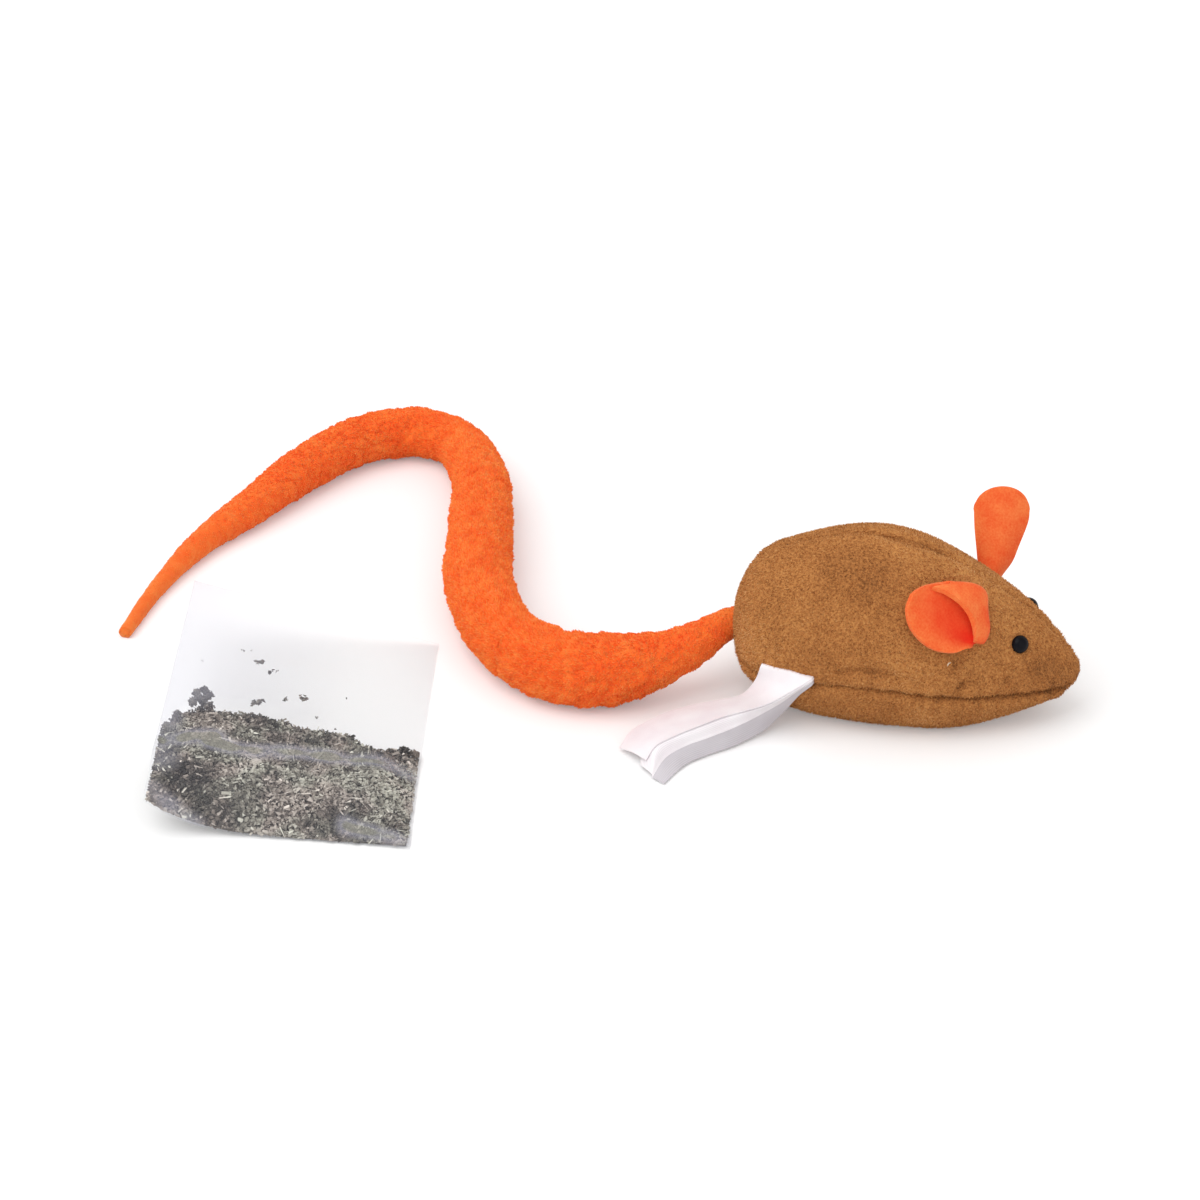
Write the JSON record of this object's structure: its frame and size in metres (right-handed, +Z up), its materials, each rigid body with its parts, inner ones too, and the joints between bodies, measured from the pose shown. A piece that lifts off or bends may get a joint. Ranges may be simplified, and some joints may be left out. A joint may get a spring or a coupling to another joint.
{
  "type": "plush catnip mouse",
  "caption": "Stuffed plush mouse with a refill pocket, cupped cloth ears, a long soft fleece tail that bends in stretches, sewn-in label plies and a flat clear bag of loose catnip.",
  "frame": {"origin": "middle of the flat under the belly, where the mouse rests", "axes": "+X towards the nose, +Y towards the mouse's left flank, +Z up; the tail runs out towards -X"},
  "size_m": [0.281, 0.2315, 0.0556],
  "materials": {
    "brown_plush": "short-pile plush",
    "orange_cloth": "brushed single ply",
    "orange_fleece": "sheared fleece pile",
    "fibre_stuffing": "loose fibre",
    "lining_cloth": "plain weave",
    "hook_tape": "stiff hooks",
    "loop_tape": "soft loops",
    "white_satin": "satin weave",
    "black_plastic": "polished",
    "washer_plastic": "moulded",
    "clear_film": "clear thin film",
    "dried_herb": "crushed dry leaf"
  },
  "bodies": {
    "mouse_body": {"right_side_panel": "brown_plush", "left_side_panel": "brown_plush", "belly_panel": "brown_plush", "loop_strip": "loop_tape", "pocket_liner": "lining_cloth", "head_stuffing": "fibre_stuffing", "rump_stuffing": "fibre_stuffing", "back_stuffing": "fibre_stuffing", "belly_stuffing": "fibre_stuffing", "flank_stuffing": "fibre_stuffing", "right_eye": "black_plastic", "right_eye_washer": "washer_plastic", "left_eye": "black_plastic", "left_eye_washer": "washer_plastic", "right_ear_root": "orange_cloth", "left_ear_root": "orange_cloth", "tail_root": "orange_fleece"},
    "flap": {"pocket_flap": "brown_plush", "hook_strip": "hook_tape"},
    "right_ear_body": {"right_ear": "orange_cloth"},
    "left_ear_body": {"left_ear": "orange_cloth"},
    "label": {"upper_label": "white_satin", "care_label": "white_satin"},
    "tail_1": {"tail_sleeve_1": "orange_fleece", "tail_stuffing_1": "fibre_stuffing"},
    "tail_2": {"tail_sleeve_2": "orange_fleece", "tail_stuffing_2": "fibre_stuffing"},
    "tail_3": {"tail_sleeve_3": "orange_fleece", "tail_stuffing_3": "fibre_stuffing"},
    "tail_4": {"tail_sleeve_4": "orange_fleece", "tail_stuffing_4": "fibre_stuffing"},
    "tail_5": {"tail_sleeve_5": "orange_fleece", "tail_stuffing_5": "fibre_stuffing"},
    "tail_6": {"tail_sleeve_6": "orange_fleece"},
    "catnip_bag": {"bag_back_film": "clear_film", "bag_front_film": "clear_film", "catnip": "dried_herb"}
  },
  "joints": [
    {"name": "flap_open", "type": "hinge", "parent": "mouse_body", "child": "flap", "pos_m": [-0.009, 0.0232, 0.0346], "axis": [1, 0, 0], "range_deg": [0, 110]},
    {"name": "right_ear_fold", "type": "hinge", "parent": "mouse_body", "child": "right_ear_body", "pos_m": [0.01952, -0.01676, 0.0312], "axis": [0.5723, 0.4229, 0.7027], "range_deg": [-8, 60], "stiffness_Nm_per_rad": 0.0005},
    {"name": "left_ear_fold", "type": "hinge", "parent": "mouse_body", "child": "left_ear_body", "pos_m": [0.02005, 0.01605, 0.03402], "axis": [-0.9741, -0.0975, 0.2043], "range_deg": [-45, 45], "stiffness_Nm_per_rad": 0.0005},
    {"name": "label_lift", "type": "hinge", "parent": "mouse_body", "child": "label", "pos_m": [-0.03093, -0.02435, 0.01416], "axis": [-0.8821, 0.4711, 0], "range_deg": [0, 55]},
    {"name": "tail_bend_1", "type": "hinge", "parent": "mouse_body", "child": "tail_1", "pos_m": [-0.05683, -0.00841, 0.01633], "axis": [-0.3489, 0.9371, 0], "range_deg": [0, 25]},
    {"name": "tail_bend_2", "type": "hinge", "parent": "tail_1", "child": "tail_2", "pos_m": [-0.08789, -0.02436, 0.0105], "axis": [-0.1903, 0.9817, 0], "range_deg": [0, 25]},
    {"name": "tail_bend_3", "type": "hinge", "parent": "tail_2", "child": "tail_3", "pos_m": [-0.12344, 0.00004, 0.01012], "axis": [0.8779, 0.4789, 0], "range_deg": [0, 25]},
    {"name": "tail_bend_4", "type": "hinge", "parent": "tail_3", "child": "tail_4", "pos_m": [-0.14082, 0.05805, 0.00955], "axis": [0.6, 0.8, 0], "range_deg": [0, 25]},
    {"name": "tail_bend_5", "type": "hinge", "parent": "tail_4", "child": "tail_5", "pos_m": [-0.16757, 0.1059, 0.00784], "axis": [0.2707, 0.9627, 0], "range_deg": [0, 25]},
    {"name": "tail_bend_6", "type": "hinge", "parent": "tail_5", "child": "tail_6", "pos_m": [-0.20655, 0.06869, 0.00669], "axis": [-0.9326, 0.361, 0], "range_deg": [0, 25]},
    {"name": "bag_lift", "type": "slide", "parent": "mouse_body", "child": "catnip_bag", "axis": [0, 0, 1], "range_m": [0, 0.05]}
  ]
}
